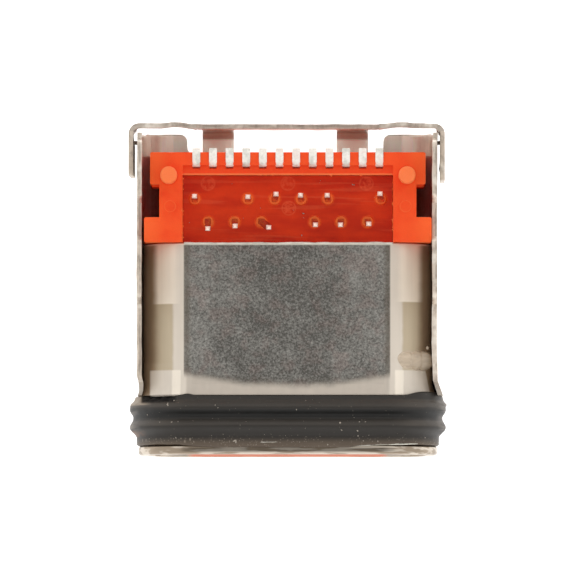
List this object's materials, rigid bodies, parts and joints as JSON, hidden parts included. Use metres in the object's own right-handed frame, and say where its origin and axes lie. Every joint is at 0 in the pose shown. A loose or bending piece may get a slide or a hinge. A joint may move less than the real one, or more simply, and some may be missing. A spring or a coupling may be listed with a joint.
{
  "type": "usb-c socket",
  "caption": "Waterproof usb-c socket: drawn steel mouth tube with a rubber sealing ring, folded steel cover with solder legs, and a moulded housing with tails and pins.",
  "frame": {"origin": "middle of the bounding box at the lowest point of the sealing ring", "axes": "+Z toward the circuit board side with the pins, -Y out of the mouth, +X to the right seen from +Z with the mouth toward the viewer"},
  "size_m": [0.0096, 0.01, 0.0047],
  "materials": {
    "tube_steel": "satin drawn stainless",
    "cover_steel": "satin stamped stainless",
    "inner_steel": "satin",
    "ring_rubber": "smooth, dusty",
    "orange_moulding": "fine moulded",
    "carrier_moulding": "fine moulded",
    "clear_resin": "glossy and clear",
    "set_glue": "cloudy, set",
    "tinned_strip": "matt tin"
  },
  "bodies": {
    "root": {"mouth_tube": "tube_steel", "sealing_ring": "ring_rubber", "cover": "cover_steel", "housing": "orange_moulding", "tail_carrier": "carrier_moulding", "pin_carrier": "carrier_moulding", "mid_plate": "inner_steel", "board_side_pad": "inner_steel", "cover_side_pad": "inner_steel", "sealing_resin": "clear_resin", "glue_blob": "set_glue", "contact_a1": "tinned_strip", "contact_a2": "tinned_strip", "contact_a3": "tinned_strip", "contact_a4": "tinned_strip", "contact_a5": "tinned_strip", "contact_a6": "tinned_strip", "contact_a7": "tinned_strip", "contact_a8": "tinned_strip", "contact_a9": "tinned_strip", "contact_a10": "tinned_strip", "contact_a11": "tinned_strip", "contact_a12": "tinned_strip", "contact_b1": "tinned_strip", "contact_b2": "tinned_strip", "contact_b3": "tinned_strip", "contact_b4": "tinned_strip", "contact_b5": "tinned_strip", "contact_b6": "tinned_strip", "contact_b7": "tinned_strip", "contact_b8": "tinned_strip", "contact_b9": "tinned_strip", "contact_b10": "tinned_strip", "contact_b11": "tinned_strip", "contact_b12": "tinned_strip"}
  },
  "joints": []
}
